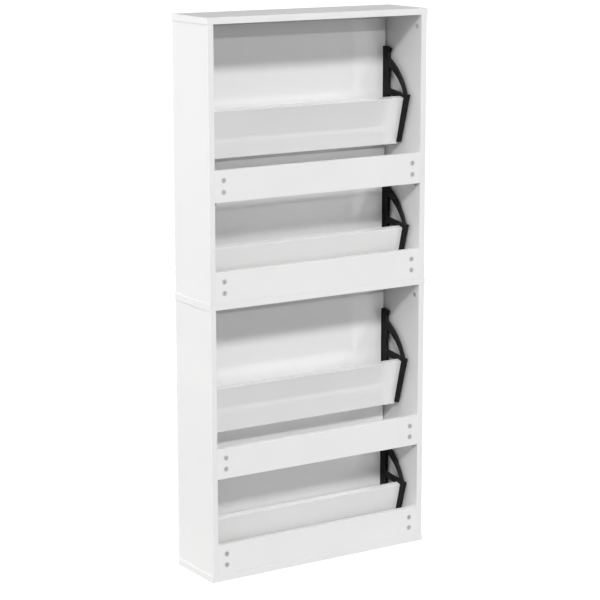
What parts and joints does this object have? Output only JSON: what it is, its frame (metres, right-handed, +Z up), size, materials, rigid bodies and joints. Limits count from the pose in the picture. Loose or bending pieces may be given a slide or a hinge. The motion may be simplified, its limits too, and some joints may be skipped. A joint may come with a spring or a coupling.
{
  "type": "shoe cabinet",
  "caption": "Slim white tip-out shoe cabinet of stacked carcasses with tilting flap fronts on plastic brackets, inner boards, back rails and an open back.",
  "frame": {"origin": "middle of the footprint, on the floor", "axes": "+X to the right and -Y to the front (the flaps) for someone facing the flaps, +Z up"},
  "size_m": [0.63, 0.17, 1.376],
  "materials": {
    "white_panel": "satin white melamine on chipboard",
    "white_door": "gloss white foil on chipboard",
    "white_board": "satin white melamine on chipboard",
    "black_plastic": "fine moulded grain",
    "grey_plastic": "moulded",
    "zinc": "die-cast zinc",
    "steel": "zinc plated",
    "beech": "raw"
  },
  "bodies": {
    "carcass": {"bottom_panel": "white_panel", "middle_panel": "white_panel", "top_panel": "white_panel", "upper_side_left": "white_panel", "upper_side_right": "white_panel", "lower_side_left": "white_panel", "lower_side_right": "white_panel", "upper_middle_rail": "white_panel", "upper_base_rail": "white_panel", "lower_middle_rail": "white_panel", "lower_base_rail": "white_panel", "rail_cam_locks": "zinc", "rail_cam_bolts": "steel", "side_cam_locks": "zinc", "side_cam_bolts": "steel", "panel_dowels": "beech", "rail_pegs": "grey_plastic", "pivot_pins": "black_plastic", "stop_pegs": "black_plastic"},
    "flap_1": {"flap_1_door": "white_door", "flap_1_board": "white_board", "flap_1_bracket_left": "black_plastic", "flap_1_bracket_right": "black_plastic", "flap_1_bracket_screws": "steel", "flap_1_board_screws": "steel"},
    "flap_2": {"flap_2_door": "white_door", "flap_2_board": "white_board", "flap_2_bracket_left": "black_plastic", "flap_2_bracket_right": "black_plastic", "flap_2_bracket_screws": "steel", "flap_2_board_screws": "steel"},
    "flap_3": {"flap_3_door": "white_door", "flap_3_board": "white_board", "flap_3_bracket_left": "black_plastic", "flap_3_bracket_right": "black_plastic", "flap_3_bracket_screws": "steel", "flap_3_board_screws": "steel"},
    "flap_4": {"flap_4_door": "white_door", "flap_4_board": "white_board", "flap_4_bracket_left": "black_plastic", "flap_4_bracket_right": "black_plastic", "flap_4_bracket_screws": "steel", "flap_4_board_screws": "steel"}
  },
  "joints": [
    {"name": "flap_1_tilt", "type": "hinge", "parent": "carcass", "child": "flap_1", "pos_m": [0, -0.06, 1.1445], "axis": [1, 0, 0], "range_deg": [0, 35]},
    {"name": "flap_2_tilt", "type": "hinge", "parent": "carcass", "child": "flap_2", "pos_m": [0, -0.06, 0.814], "axis": [1, 0, 0], "range_deg": [0, 35]},
    {"name": "flap_3_tilt", "type": "hinge", "parent": "carcass", "child": "flap_3", "pos_m": [0, -0.06, 0.4645], "axis": [1, 0, 0], "range_deg": [0, 35]},
    {"name": "flap_4_tilt", "type": "hinge", "parent": "carcass", "child": "flap_4", "pos_m": [0, -0.06, 0.134], "axis": [1, 0, 0], "range_deg": [0, 35]}
  ]
}
